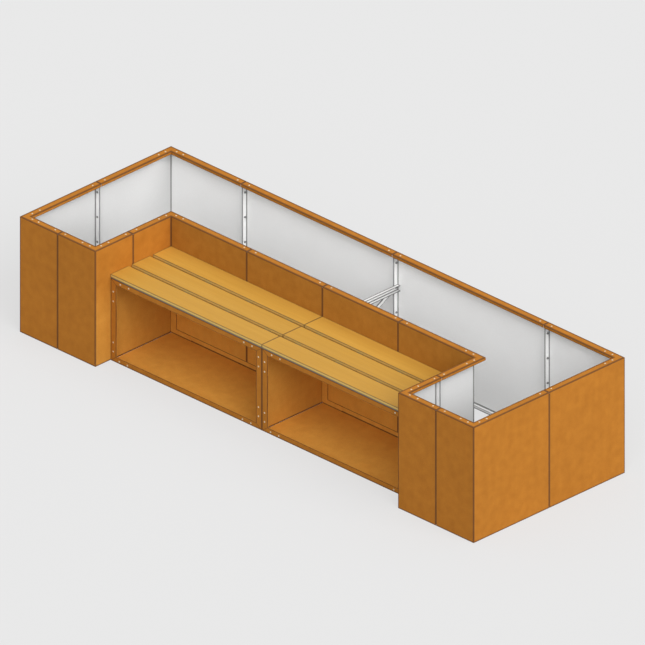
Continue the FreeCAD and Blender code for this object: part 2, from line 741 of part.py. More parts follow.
def check_document():
    """Stop if anything in the document failed or a sub-part's shape is unsound."""
    doc.recompute()
    for item in doc.Objects:
        if "Invalid" in item.State or "Error" in item.State:
            raise RuntimeError("%s failed: %s" % (item.Label, item.State))
    for piece in parts:
        shape = piece.Shape
        if shape.isNull() or not shape.isValid() or not shape.Solids:
            raise RuntimeError("%s has no sound shape" % piece.Label)


def write_parts():
    """Write each sub-part to a file of its own."""
    os.makedirs("parts", exist_ok=True)
    for piece in parts:
        piece.Shape.exportStep(os.path.join("parts", piece.Label + ".step"))
        print(piece.Label, len(piece.Shape.Solids), round(piece.Shape.Volume))


planter_walls()
joint_fasteners()
flange_plates()
tie_channel()
tie_brace()
benches()
check_document()
write_parts()
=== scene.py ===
"""Looks of a street bench set into a long planter of folded sheet steel.

Every length is in metres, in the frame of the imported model: +X along the bench, +Y to the back and
+Z up, with the origin on the ground under the middle of the whole.
"""

import logging
import math
from dataclasses import dataclass
from enum import Enum

import bmesh
import bpy
from mathutils import Matrix, Vector


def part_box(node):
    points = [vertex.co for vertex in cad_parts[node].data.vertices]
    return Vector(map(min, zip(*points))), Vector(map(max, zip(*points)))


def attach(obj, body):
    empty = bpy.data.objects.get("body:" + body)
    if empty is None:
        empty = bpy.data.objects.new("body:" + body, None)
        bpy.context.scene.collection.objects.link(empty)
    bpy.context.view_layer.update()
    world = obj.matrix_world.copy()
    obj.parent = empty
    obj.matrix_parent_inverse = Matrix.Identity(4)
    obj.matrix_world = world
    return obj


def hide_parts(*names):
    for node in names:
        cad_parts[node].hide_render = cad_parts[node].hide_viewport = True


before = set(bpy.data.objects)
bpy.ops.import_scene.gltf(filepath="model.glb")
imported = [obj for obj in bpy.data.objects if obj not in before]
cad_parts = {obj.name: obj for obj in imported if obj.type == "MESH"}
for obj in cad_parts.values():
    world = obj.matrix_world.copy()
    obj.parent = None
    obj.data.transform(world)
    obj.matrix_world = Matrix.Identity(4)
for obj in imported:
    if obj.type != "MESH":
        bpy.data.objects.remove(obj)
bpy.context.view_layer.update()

logging.basicConfig(level=logging.INFO, format="%(message)s")
log = logging.getLogger("bench_with_planter")

BODY = "root"
MM = 0.001

# What a noise texture spans, the way in which patterns are moved, and how sharply a line begins.
NOISE_LOW, NOISE_HIGH = 0.3, 0.7
PATTERN_SHIFT = (1.0, 1.7, 0.6)
LINE_GAIN = 1.6

Colour = tuple[float, float, float]
Point = tuple[float, float, float]
Levels = tuple[float, ...]
Pair = tuple[float, float]
Pairs = list[Pair]
Mesh = bmesh.types.BMesh
Material = bpy.types.Material
Socket = bpy.types.NodeSocket
Number = Socket | float


class Side(Enum):
    """The two mirrored halves of the bench, by the sign of their X."""

    LEFT = -1
    RIGHT = 1

    @property
    def word(self) -> str:
        """The half's name, as the nodes spell it."""
        return self.name.lower()


class Axis(Enum):
    """The axes of the frame, by their place in a vector."""

    X = 0
    Y = 1
    Z = 2


@dataclass(frozen=True)
class Folds:
    """Levels of the flat faces of a sheet; the darker fold line runs where two of them meet."""

    x: Levels = ()
    y: Levels = ()
    z: Levels = ()

    def mirrored(self) -> "Folds":
        """The same folds on the other half of the bench."""
        return Folds(tuple(-level for level in self.x), self.y, self.z)


@dataclass(frozen=True)
class Panel:
    """One folded panel of the planter: the planes of its walls, and of its ends at the joints."""

    walls: Folds
    ends: Folds
    by_bench: bool = False

    def mirrored(self) -> "Panel":
        """The same panel on the other half of the planter."""
        return Panel(self.walls.mirrored(), self.ends.mirrored(), self.by_bench)


@dataclass(frozen=True)
class Mottle:
    """A cloudy pattern: its patches per metre and octaves, the range it spans, and its stretch.

    A stretch above 1 draws the patches closer together along that axis.
    """

    scale: float
    detail: float
    low: float = 0.0
    high: float = 1.0
    stretch: Point = (1.0, 1.0, 1.0)


@dataclass(frozen=True)
class Moves:
    """How far the patterns of a row of pieces are moved, so that no two pieces share them."""

    start: float
    step: float
    aside: float

    def of(self, index: int, side: Side) -> float:
        """Give how far one piece's patterns are moved."""
        return self.start + self.step * index + self.aside * side.value


@dataclass
class Nodes:
    """A node tree, built one node at a time."""

    tree: bpy.types.NodeTree

    def add(self, kind: str, inputs: dict | None = None, **settings: object) -> bpy.types.Node:
        """Add a node.

        Args:
            kind: Its type.
            inputs: What its input sockets get, by their name or place.
            settings: Its properties.

        Returns:
            The node.
        """
        node = self.tree.nodes.new(kind)
        for name, value in settings.items():
            setattr(node, name, value)
        self.feed(node, inputs or {})
        return node

    def feed(self, node: bpy.types.Node, inputs: dict) -> None:
        """Link a node's input sockets to others, or set them to plain values.

        Args:
            node: The node.
            inputs: What each socket gets, by its name or place.
        """
        for name, value in inputs.items():
            if isinstance(value, Socket):
                self.tree.links.new(value, node.inputs[name])
            else:
                node.inputs[name].default_value = value

    def math(self, operation: str, *values: Number, clamp: bool = False) -> Socket:
        """Give the result of a math node, kept between 0 and 1 if clamped."""
        inputs = dict(enumerate(values))
        return self.add("ShaderNodeMath", inputs, operation=operation, use_clamp=clamp).outputs[0]

    def chain(self, operation: str, *values: Number) -> Number:
        """Take several values through one operation, two at a time.

        Args:
            operation: What is done with the result so far and the next value.
            values: The values.

        Returns:
            The last result.
        """
        result = values[0]
        for value in values[1:]:
            result = self.math(operation, result, value)
        return result

    def minus(self, value: Number, other: Number) -> Socket:
        """Give one value less another."""
        return self.math("SUBTRACT", value, other)

    def times(self, *values: Number) -> Socket:
        """Give the product of several values."""
        return self.chain("MULTIPLY", *values)

    def ranged(self, value: Socket, least: float, more: float) -> Socket:
        """Give the least where a value is 0, and that much more where it is 1."""
        return self.math("ADD", self.times(value, more), least)

    def largest(self, *values: Socket) -> Socket:
        """Give the largest of several values."""
        return self.chain("MAXIMUM", *values)

    def smallest(self, *values: Socket) -> Socket:
        """Give the smallest of several values."""
        return self.chain("MINIMUM", *values)

    def vector(self, operation: str, first: object, second: object) -> Socket:
        """Give the result of a vector math node."""
        inputs = {0: first, "Scale" if operation == "SCALE" else 1: second}
        return self.add("ShaderNodeVectorMath", inputs, operation=operation).outputs[0]

    def mix(self, factor: Number, first: object, second: object) -> Socket:
        """Mix two colours.

        Args:
            factor: 0 for the first, 1 for the second.
            first: A colour or a socket.
            second: A colour or a socket.

        Returns:
            The mixed colour.
        """
        colours = [value if isinstance(value, Socket) else (*value, 1.0) for value in (first, second)]
        inputs = {0: factor, 6: colours[0], 7: colours[1]}
        return self.add("ShaderNodeMix", inputs, data_type="RGBA").outputs[2]

    def lined(self, colour: Socket, lines: Socket, line: Socket | Colour, strength: float) -> Socket:
        """Draw lines of another colour over a colour."""
        return self.mix(self.times(lines, strength), colour, line)

    def mix_number(self, factor: Number, first: Number, second: Number) -> Socket:
        """Mix two numbers in the same way."""
        return self.add("ShaderNodeMix", {0: factor, 2: first, 3: second}, data_type="FLOAT").outputs[0]


class Graph(Nodes):
    """The nodes of one piece's material."""

    def __init__(self, name: str, shift: float = 0.0) -> None:
        """Start a tree that reads the piece's own coordinates.

        Args:
            name: The material's name.
            shift: How far the patterns are moved, so that two pieces don't share them.
        """
        self.material = bpy.data.materials.new(name)
        self.material.use_nodes = True
        super().__init__(self.material.node_tree)
        self.tree.nodes.clear()
        self.place = self.add("ShaderNodeTexCoord").outputs["Object"]
        self.x, self.y, self.z = self.split(self.place)
        self.shift = shift

    def split(self, vector: Socket) -> tuple[Socket, ...]:
        """Give the X, Y and Z of a vector."""
        return tuple(self.add("ShaderNodeSeparateXYZ", {0: vector}).outputs)

    def facing(self, axis: Axis) -> Socket:
        """Give how squarely a face is turned along an axis, either way."""
        normal = self.add("ShaderNodeNewGeometry").outputs["True Normal"]
        return self.math("ABSOLUTE", self.split(normal)[axis.value])

    def near(self, value: Socket, levels: Levels, reach: float, sheet: float = 0.0) -> Number:
        """Give 1 where a value is at a level, falling to 0 within the reach beside it.

        Args:
            value: The coordinate.
            levels: The levels, such as those of a panel's faces.
            reach: How far beside a level the value still counts.
            sheet: The sheet's thickness, so that both of its faces count as at the level.

        Returns:
            The nearness to the nearest level.
        """
        if not levels:
            return 0.0
        off = [self.math("ABSOLUTE", self.minus(value, level)) for level in levels]
        beside = self.math("DIVIDE", self.minus(self.smallest(*off), sheet), reach)
        return self.math("SUBTRACT", 1.0, beside, clamp=True)

    def meeting(self, *near: Number) -> Socket:
        """Give 1 where two of several faces meet, fading out beside it, from how near each one is."""
        overlap = self.minus(self.chain("ADD", *near), 1.0)
        return self.math("MULTIPLY", overlap, LINE_GAIN, clamp=True)

    def arrises(self, folds: Folds, reach: float) -> Socket:
        """Give 1 along the arrises where two of a piece's faces meet."""
        return self.meeting(self.near(self.x, folds.x, reach), self.near(self.y, folds.y, reach),
                            self.near(self.z, folds.z, reach))

    def noise(self, pattern: Mottle) -> Socket:
        """Give a pattern's own value, between about 0.3 and 0.7.

        Args:
            pattern: The pattern.

        Returns:
            The value.
        """
        location = tuple(self.shift * part for part in PATTERN_SHIFT)
        inputs = {"Vector": self.place, "Location": location, "Scale": pattern.stretch}
        place = self.add("ShaderNodeMapping", inputs).outputs[0]
        inputs = {"Vector": place, "Scale": pattern.scale, "Detail": pattern.detail}
        return self.add("ShaderNodeTexNoise", inputs).outputs[0]

    def spread(self, value: Socket, low: float, high: float) -> Socket:
        """Spread a pattern's own value over a range."""
        inputs = {"Value": value, "From Min": NOISE_LOW, "From Max": NOISE_HIGH, "To Min": low,
                  "To Max": high}
        return self.add("ShaderNodeMapRange", inputs).outputs[0]

    def mottle(self, pattern: Mottle) -> Socket:
        """Give a pattern over its own range."""
        return self.spread(self.noise(pattern), pattern.low, pattern.high)

    def toned(self, colour: Socket | Colour, *tones: Number) -> Socket:
        """Brighten or darken a colour.

        Args:
            colour: The colour.
            tones: Factors about 1.

        Returns:
            The new colour.
        """
        for tone in tones:
            colour = self.vector("SCALE", colour, tone)
        return colour

    def finish(self, colour: Socket, roughness: Number, relief: Socket, depth: float,
               metallic: Number = 0.0, shine: float = 0.5) -> Material:
        """Join colour, roughness and relief into the surface.

        Args:
            colour: The base colour.
            roughness: How matt the surface is.
            relief: The height of the surface's fine relief.
            depth: The relief's depth in metres.
            metallic: 1 where the surface is bare metal.
            shine: The strength of the reflection of a surface that isn't metal.

        Returns:
            The finished material.
        """
        bump = self.add("ShaderNodeBump", {"Height": relief, "Distance": depth})
        inputs = {"Base Color": colour, "Roughness": roughness, "Metallic": metallic,
                  "Specular IOR Level": shine, "Normal": bump.outputs[0]}
        surface = self.add("ShaderNodeBsdfPrincipled", inputs)
        self.add("ShaderNodeOutputMaterial", {"Surface": surface.outputs[0]})
        return self.material


@dataclass(frozen=True)
class Rust:
    """Sheet steel that has weathered to an even brown rust."""

    light: Colour = (0.444, 0.169, 0.0212)
    deep: Colour = (0.387, 0.141, 0.0148)
    # Paler rust, painted as fill light where shade falls inside the boxes and below the seat.
    painted_fill_light: Colour = (0.735, 0.355, 0.062)
    painted_fill_deep: Colour = (0.68, 0.307, 0.049)
    fold: Colour = (0.10, 0.042, 0.018)
    sheet: float = 2 * MM
    fold_reach: float = 5.5 * MM
    flange_reach: float = 9 * MM
    level_reach: float = 2.5 * MM
    foot_reach: float = 6 * MM
    fold_strength: float = 0.8
    seam_reach: float = 1.6 * MM
    side_shade: float = 0.17
    blotches: Mottle = Mottle(24.0, 5.0)
    clouds: Mottle = Mottle(3.2, 3.0, 0.965, 1.035)
    runs: Mottle = Mottle(1.0, 3.0, 0.98, 1.02, (34.0, 34.0, 1.4))
    specks: Mottle = Mottle(330.0, 2.0, 0.93, 1.07)
    roughness: Mottle = Mottle(24.0, 5.0, 0.74, 0.9)
    relief: Mottle = Mottle(420.0, 4.0)
    relief_depth: float = 0.25 * MM
    shine: float = 0.15

    def surface(self, graph: Graph, colour: Socket) -> Material:
        """Give a colour the roughness and the pitted grain of the rust."""
        return graph.finish(colour, graph.mottle(self.roughness), graph.noise(self.relief),
                            self.relief_depth, shine=self.shine)

    def plates(self, name: str, shift: float) -> Material:
        """Make the corner plates' rust in the boxes: paler painted fill light, darker where they meet the
        floor sheet.

        Args:
            name: The material's name.
            shift: How far the mottling is moved.

        Returns:
            The material.
        """
        graph = Graph(name, shift)
        foot = graph.meeting(1.0, graph.near(graph.z, (self.sheet,), self.foot_reach))
        # All of the plates' rust is the paler painted fill light.
        rust = self.colour(graph, painted_fill=1.0)
        return self.surface(graph, graph.lined(rust, foot, self.fold, self.fold_strength))

    def colour(self, graph: Graph, painted_fill: Number = 0.0) -> Socket:
        """Mottle the rust with small blotches, broad clouds, faint upright runs and fine specks.

        Args:
            graph: The material's nodes.
            painted_fill: 1 where the rust is painted paler, as painted fill light in shaded places.

        Returns:
            The colour.
        """
        blotches = graph.mottle(self.blotches)
        plain_rust = graph.mix(blotches, self.deep, self.light)
        # The paler copy of the rust is painted fill light for shaded places.
        pale = graph.mix(blotches, self.painted_fill_deep, self.painted_fill_light)
        tones = [graph.mottle(pattern) for pattern in (self.clouds, self.runs, self.specks)]
        return graph.toned(graph.mix(painted_fill, plain_rust, pale), *tones)

    def mitres(self, graph: Graph, folds: Folds, frame_size: Pair) -> Socket:
        """Give 1 along the seams that run from the corners of a framed front to its opening.

        Args:
            graph: The material's nodes.
            folds: The box's outer faces.
            frame_size: Widths of the frame's uprights and of its top and foot.

        Returns:
            The seams, on every face that lies in the frame.
        """
        upright, edge = frame_size
        from_side = graph.smallest(graph.minus(graph.x, folds.x[0]), graph.minus(folds.x[1], graph.x))
        from_edge = graph.smallest(graph.minus(graph.z, folds.z[0]), graph.minus(folds.z[1], graph.z))
        across, up = graph.times(from_side, 1 / upright), graph.times(from_edge, 1 / edge)
        off = graph.math("ABSOLUTE", graph.minus(across, up))
        on_seam = graph.math("LESS_THAN", off, self.seam_reach / edge)
        return graph.times(on_seam, graph.math("LESS_THAN", across, 1.0))

    def material(self, name: str, folds: Folds, edges: Folds, frame_size: Pair, shift: float) -> Material:
        """Make the rust of one sheet of a box.

        Args:
            name: The material's name.
            folds: The sheet's folds and outer edges.
            edges: Levels of the free edges of its front and back flanges.
            frame_size: Widths of the frame's uprights and of its top and foot.
            shift: How far the mottling is moved.

        Returns:
            The material.
        """
        graph = Graph(name, shift)
        reach, level_reach = self.fold_reach, self.level_reach
        near_y = graph.near(graph.y, folds.y, reach, self.sheet)
        level = graph.largest(graph.near(graph.z, folds.z[:1], self.foot_reach, self.sheet),
                              graph.near(graph.z, folds.z[1:], level_reach, self.sheet))
        on_fold = graph.meeting(graph.near(graph.x, folds.x, reach, self.sheet), near_y, level)
        on_upright = graph.meeting(graph.near(graph.x, edges.x, reach), near_y)
        on_edge = graph.meeting(graph.near(graph.z, edges.z, level_reach), near_y)
        on_seam = graph.times(self.mitres(graph, folds, frame_size), near_y)
        lines = graph.largest(on_fold, on_upright, on_edge, on_seam)
        # Inside the box the rust is painted paler, as painted fill light, and faces turned along X get
        # painted shade.
        painted_fill = graph.math("GREATER_THAN", graph.y, folds.y[0] + self.seam_reach)
        shade = graph.times(graph.facing(Axis.X), painted_fill, self.side_shade)
        rust = graph.toned(self.colour(graph, painted_fill), graph.minus(1.0, shade))
        return self.surface(graph, graph.lined(rust, lines, self.fold, self.fold_strength))


@dataclass(frozen=True)
class CoatedWall:
    """A planter panel: rust outside and on its top flange, a light grey coat on the soil side."""

    rust: Rust = Rust()
    coat: Colour = (0.94, 0.94, 0.935)
    coat_fold: Colour = (0.10, 0.10, 0.10)
    end_wall_shade: float = 0.32
    # How much lighter the rust on faces turned up is painted, as painted light.
    painted_top_lift: float = 0.1
    # Painted fill light down the strip in front of the bench, how fast it grows below the seat, and the
    # painted shade tint behind the seat.
    strip_painted_fill: float = 0.55
    strip_fade: float = 5.0
    behind_seat_painted_shade: Point = (0.92, 1.03, 1.22)
    clouds: Mottle = Mottle(5.0, 3.0, 0.985, 1.015)
    specks: Mottle = Mottle(180.0, 2.0, 0.985, 1.015)
    coat_gloss: Mottle = Mottle(60.0, 2.0, 0.42, 0.5)
    peel: Mottle = Mottle(240.0, 1.0)
    coat_depth: float = 0.06 * MM
    rusted_depth: float = 1.9 * MM
    coated_depth: float = 2.5 * MM
    top_flange: float = 15.5 * MM
    flange_width: float = 40 * MM
    lip: float = 15 * MM
    end_flange: float = 30 * MM

    def soil_depth(self, graph: Graph, planter: "Planter") -> Socket:
        """Give how far a point lies inside the planter's outline, seen from above.

        Args:
            graph: The material's nodes.
            planter: The planter, for its outline.

        Returns:
            The depth, in metres.
        """
        along = graph.math("ABSOLUTE", graph.x)
        across = graph.math("ABSOLUTE", graph.y)
        from_ends = graph.minus(planter.half_length, along)
        from_sides = graph.minus(planter.half_depth, across)
        past_bay = graph.minus(along, planter.bay_half)
        behind_bay = graph.minus(graph.y, planter.recess)
        return graph.smallest(from_ends, from_sides, graph.largest(past_bay, behind_bay))

    def fold_lines(self, graph: Graph, panel: Panel, depth: Socket, height: float) -> Socket:
        """Give 1 along the panel's folds, the free edges of its flanges and its ends.

        Args:
            graph: The material's nodes.
            panel: The panel's walls and ends.
            depth: How far each point lies inside the planter's outline.
            height: The planter's height.

        Returns:
            The lines.
        """
        reach, level_reach, sheet = self.rust.fold_reach, self.rust.level_reach, self.rust.sheet
        wall = graph.near(depth, (0.0,), reach, sheet)
        flange_edge = graph.near(depth, (self.flange_width,), reach, sheet)
        rim = graph.near(depth, (0.0, self.flange_width), self.rust.flange_reach, sheet)
        level = graph.largest(graph.near(graph.z, (height,), level_reach, sheet),
                              graph.near(graph.z, (0.0,), self.rust.foot_reach, sheet))
        end = graph.largest(graph.near(graph.x, panel.ends.x, reach, sheet),
                            graph.near(graph.y, panel.ends.y, reach, sheet))
        corner = graph.meeting(graph.near(graph.x, panel.walls.x, reach, sheet),
                               graph.near(graph.y, panel.walls.y, reach, sheet))
        between = graph.times(graph.math("LESS_THAN", graph.z, height - self.top_flange),
                              graph.math("GREATER_THAN", graph.z, self.top_flange))
        on_flange = graph.meeting(rim, level)
        on_lip = graph.meeting(graph.near(graph.z, (self.lip, height - self.lip), level_reach), flange_edge)
        on_joint = graph.meeting(end, graph.largest(wall, level))
        on_end_flange = graph.meeting(graph.near(depth, (self.end_flange,), reach), end)
        return graph.largest(graph.times(corner, wall), on_flange, on_lip, on_joint,
                             graph.times(on_end_flange, between))

    def bay_rust(self, graph: Graph, planter: "Planter") -> Socket:
        """Give the rust of the walls round the bench.

        It is painted paler below the seat, as painted fill light in the seat's shade; down the strip in
        front of the bench that painted fill light grows towards the ground; on the wall behind the seat
        it is tinted deeper brown as painted shade.

        Args:
            graph: The material's nodes.
            planter: The planter, for the bench's place in it.

        Returns:
            The colour.
        """
        below_seat = graph.math("LESS_THAN", graph.z, planter.seat_level)
        by_bench = graph.math("GREATER_THAN", graph.y, planter.bench_front)
        in_front = graph.times(graph.minus(1.0, by_bench), graph.facing(Axis.X))
        below = graph.minus(planter.seat_level, graph.z)
        down = graph.math("MULTIPLY", below, self.strip_fade, clamp=True)
        strip = graph.times(in_front, down, self.strip_painted_fill)
        # Below the seat and down the front strip the rust is painted paler, as painted fill light.
        colour = self.rust.colour(graph, graph.largest(graph.times(below_seat, by_bench), strip))
        # On the wall behind the seat the rust is tinted deeper brown, as painted shade.
        painted_shade_behind_seat = graph.vector("MULTIPLY", colour, self.behind_seat_painted_shade)
        above_seat = graph.minus(by_bench, below_seat)
        behind = graph.math("MULTIPLY", graph.facing(Axis.Y), above_seat, clamp=True)
        return graph.mix(behind, colour, painted_shade_behind_seat)

    def material(self, name: str, panel: Panel, planter: "Planter", shift: float) -> Material:
        """Make the two-sided finish of one panel.

        Args:
            name: The material's name.
            panel: The panel's walls and ends.
            planter: The planter, for its outline.
            shift: How far the mottling is moved.

        Returns:
            The material.
        """
        graph = Graph(name, shift)
        depth = self.soil_depth(graph, planter)
        outside = graph.math("LESS_THAN", depth, self.rusted_depth)
        on_top = graph.math("GREATER_THAN", graph.z, planter.height - self.top_flange)
        rusted = graph.largest(outside, on_top)
        on_wall = graph.math("LESS_THAN", depth, self.coated_depth)
        end_wall = graph.times(graph.facing(Axis.X), on_wall, self.end_wall_shade)
        coat = graph.toned(self.coat, graph.mottle(self.clouds), graph.mottle(self.specks),
                           graph.minus(1.0, end_wall))
        rust = self.bay_rust(graph, planter) if panel.by_bench else self.rust.colour(graph)
        # Rust on faces turned up is painted lighter, as painted light from above.
        painted_top_light = graph.ranged(graph.facing(Axis.Z), 1.0, self.painted_top_lift)
        surface = graph.mix(rusted, coat, graph.toned(rust, painted_top_light))
        fold = graph.mix(rusted, self.coat_fold, self.rust.fold)
        lines = self.fold_lines(graph, panel, depth, planter.height)
        colour = graph.lined(surface, lines, fold, self.rust.fold_strength)
        gloss = graph.mottle(self.coat_gloss)
        roughness = graph.mix_number(rusted, gloss, graph.mottle(self.rust.roughness))
        peel = graph.times(graph.noise(self.peel), self.coat_depth / self.rust.relief_depth)
        relief = graph.mix_number(rusted, peel, graph.noise(self.rust.relief))
        return graph.finish(colour, roughness, relief, self.rust.relief_depth, shine=self.rust.shine)


@dataclass(frozen=True)
class Zinc:
    """Galvanised steel with a faint spangle."""

    colour: Colour = (0.85, 0.85, 0.84)
    edge: Colour = (0.03, 0.03, 0.03)
    edge_reach: float = 4.5 * MM
    edge_strength: float = 0.9
    crystals: float = 110.0
    crystal_tones: Pair = (0.96, 0.08)
    crystal_gloss: Pair = (0.38, 0.12)
    clouds: Mottle = Mottle(14.0, 3.0, 0.975, 1.025)
    relief: Mottle = Mottle(150.0, 2.0)
    relief_depth: float = 0.05 * MM
    metallic: float = 0.25

    def material(self, name: str, folds: Folds, shift: float = 0.0, slope: float = 0.0,
                 pivot: Point = (0.0, 0.0, 0.0)) -> Material:
        """Make the zinc of one piece.

        Args:
            name: The material's name.
            folds: Levels of the piece's faces; its arrises are darker where they meet.
            shift: How far the spangle is moved.
            slope: The angle by which the piece is turned about X, for its arrises.
            pivot: The point about which it is turned.

        Returns:
            The material.
        """
        graph = Graph(name, shift)
        if slope:
            self.turn(graph, slope, pivot)
        edges = graph.arrises(folds, self.edge_reach)
        crystals = graph.add("ShaderNodeTexVoronoi", {"Vector": graph.place, "Scale": self.crystals})
        tint = graph.add("ShaderNodeSeparateColor", {0: crystals.outputs["Color"]})
        spangle = graph.ranged(tint.outputs[0], *self.crystal_tones)
        roughness = graph.ranged(tint.outputs[1], *self.crystal_gloss)
        zinc = graph.toned(self.colour, spangle, graph.mottle(self.clouds))
        colour = graph.lined(zinc, edges, self.edge, self.edge_strength)
        return graph.finish(colour, roughness, graph.noise(self.relief), self.relief_depth,
                            metallic=self.metallic)

    @staticmethod
    def turn(graph: Graph, slope: float, pivot: Point) -> None:
        """Turn the coordinates that the arrises are read from.

        Args:
            graph: The material's nodes.
            slope: The angle by which the piece is turned about X.
            pivot: The point about which it is turned.
        """
        inputs = {"Vector": graph.vector("SUBTRACT", graph.place, pivot), "Angle": -slope}
        turned = graph.add("ShaderNodeVectorRotate", inputs, rotation_type="X_AXIS")
        graph.x, graph.y, graph.z = graph.split(turned.outputs[0])


@dataclass(frozen=True)
class Metal:
    """Plain metal of bolts and rivets, dulled in patches."""

    colour: Colour
    roughness: float
    metallic: float
    roughness_varies: float = 0.06
    dulling: Mottle = Mottle(260.0, 3.0, 0.85, 1.15)
    gloss: Mottle = Mottle(420.0, 2.0)
    relief: Mottle = Mottle(900.0, 2.0)
    relief_depth: float = 0.03 * MM

    def material(self, name: str) -> Material:
        """Make the metal.

        Args:
            name: The material's name.

        Returns:
            The material.
        """
        graph = Graph(name)
        colour = graph.toned(self.colour, graph.mottle(self.dulling))
        gloss = graph.spread(graph.noise(self.gloss), self.roughness - self.roughness_varies,
                             self.roughness + self.roughness_varies)
        return graph.finish(colour, gloss, graph.noise(self.relief), self.relief_depth,
                            metallic=self.metallic)


@dataclass(frozen=True)
class SeatWood:
    """Oiled boards with a fine straight grain along X."""

    light: Colour = (0.573, 0.312, 0.051)
    dark: Colour = (0.50, 0.258, 0.036)
    side_wood: Colour = (0.64, 0.44, 0.128)
    edge: Colour = (0.12, 0.06, 0.022)
    edge_reach: float = 4 * MM
    edge_strength: float = 0.75
    lines: Mottle = Mottle(1.0, 6.0, stretch=(3.0, 190.0, 190.0))
    fibre: Mottle = Mottle(1.0, 3.0, stretch=(14.0, 900.0, 900.0))
    bands: Mottle = Mottle(1.0, 3.0, stretch=(0.8, 26.0, 26.0))
    clouds: Mottle = Mottle(2.4, 2.0, 0.975, 1.025)
    band_share: float = 0.45
    pores: Pair = (0.95, 1.05)
    roughness: Pair = (0.5, 0.64)
    shine: float = 0.3
    grain_depth: float = 0.12 * MM

    def material(self, name: str, folds: Folds, shift: float, tone: float) -> Material:
        """Make the wood of one board.

        Args:
            name: The material's name.
            folds: Levels of the board's faces; its arrises are darker where they meet.
            shift: How far the grain is moved, so that no two boards share it.
            tone: How much lighter the board is painted than the others, as painted light against shade.

        Returns:
            The material.
        """
        graph = Graph(name, shift)
        lines, fibre = graph.noise(self.lines), graph.noise(self.fibre)
        grain = graph.mix_number(self.band_share, graph.spread(lines, 0.0, 1.0), graph.mottle(self.bands))
        top_wood = graph.toned(graph.mix(grain, self.dark, self.light), tone)
        # Faces that don't point up get a lighter, yellower wood colour than the top.
        wood = graph.toned(graph.mix(graph.facing(Axis.Z), self.side_wood, top_wood),
                           graph.spread(fibre, *self.pores), graph.mottle(self.clouds))
        edges = graph.arrises(folds, self.edge_reach)
        colour = graph.lined(wood, edges, self.edge, self.edge_strength)
        return graph.finish(colour, graph.spread(lines, *self.roughness), fibre, self.grain_depth,
                            shine=self.shine)


def faces_of(node: str) -> Folds:
    """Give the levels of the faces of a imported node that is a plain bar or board."""
    low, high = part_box(node)
    return Folds((low.x, high.x), (low.y, high.y), (low.z, high.z))


def dress(node: str, material: Material) -> None:
    """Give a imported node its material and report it.

    Args:
        node: The node.
        material: The material.
    """
    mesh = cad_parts[node].data
    mesh.materials.clear()
    mesh.materials.append(material)
    log.info("dressed %s", node)


def put(name: str, data: bpy.types.ID) -> bpy.types.Object:
    """Put a mesh, a lamp or a camera in the scene.

    Args:
        name: The object's name.
        data: The mesh, the lamp or the camera.

    Returns:
        The object.
    """
    made = bpy.data.objects.new(name, data)
    bpy.context.scene.collection.objects.link(made)
    return made


def aimed(way: Vector) -> Matrix:
    """Give the turn that lays Z along a way."""
    return way.to_track_quat("Z", "Y").to_matrix().to_4x4()


def put_mesh(name: str, mesh: Mesh, material: Material) -> bpy.types.Object:
    """Make a finished mesh an object, and free it.

    Args:
        name: The object's name.
        mesh: Its mesh, in place.
        material: Its material.

    Returns:
        The object.
    """
    data = bpy.data.meshes.new(name)
    mesh.to_mesh(data)
    mesh.free()
    data.materials.append(material)
    return put(name, data)


def add_piece(name: str, mesh: Mesh, metal: Material) -> bpy.types.Object:
    """Make a finished mesh of bolts or rivets a piece of the object.

    Args:
        name: The piece's name.
        mesh: Its mesh, in place.
        metal: Its material.

    Returns:
        The piece.
    """
    bmesh.ops.recalc_face_normals(mesh, faces=mesh.faces)
    piece = put_mesh(name, mesh, metal)
    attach(piece, BODY)
    log.info("made %s with %d faces", name, len(piece.data.polygons))
    return piece


def turned_profile(profile: Pairs, steps: int) -> Mesh:
    """Spin a profile of radius and height about Z into a closed round shape.

    The spin lists its faces in another order each run, so they are put in the order of their points.

    Args:
        profile: Radius and height of each point, from the axis back to the axis.
        steps: Sides of the round.

    Returns:
        The mesh, about the origin.
    """
    mesh = bmesh.new()
    points = [mesh.verts.new((radius, 0.0, height)) for radius, height in profile]
    edges = [mesh.edges.new(pair) for pair in zip(points, points[1:])]
    bmesh.ops.spin(mesh, geom=points + edges, cent=(0.0, 0.0, 0.0), axis=(0.0, 0.0, 1.0),
                   angle=2 * math.pi, steps=steps, use_merge=True)
    bmesh.ops.remove_doubles(mesh, verts=mesh.verts, dist=1e-6)
    mesh.verts.index_update()
    order = sorted(mesh.faces, key=lambda face: sorted(vert.index for vert in face.verts))
    for index, face in enumerate(order):
        face.index = index
    mesh.faces.sort()
    return mesh


def stamp(whole: Mesh, shape: Mesh, places: list[Matrix]) -> None:
    """Copy a shape to every place in a mesh, and free the shape.

    Args:
        whole: The mesh that takes the copies.
        shape: The shape, about the origin.
        places: Where each copy goes.
    """
    template = bpy.data.meshes.new("template")
    shape.to_mesh(template)
    shape.free()
    for place in places:
        before = len(whole.verts)
        whole.from_mesh(template)
        whole.verts.ensure_lookup_table()
        bmesh.ops.transform(whole, matrix=place, verts=whole.verts[before:])
    bpy.data.meshes.remove(template)


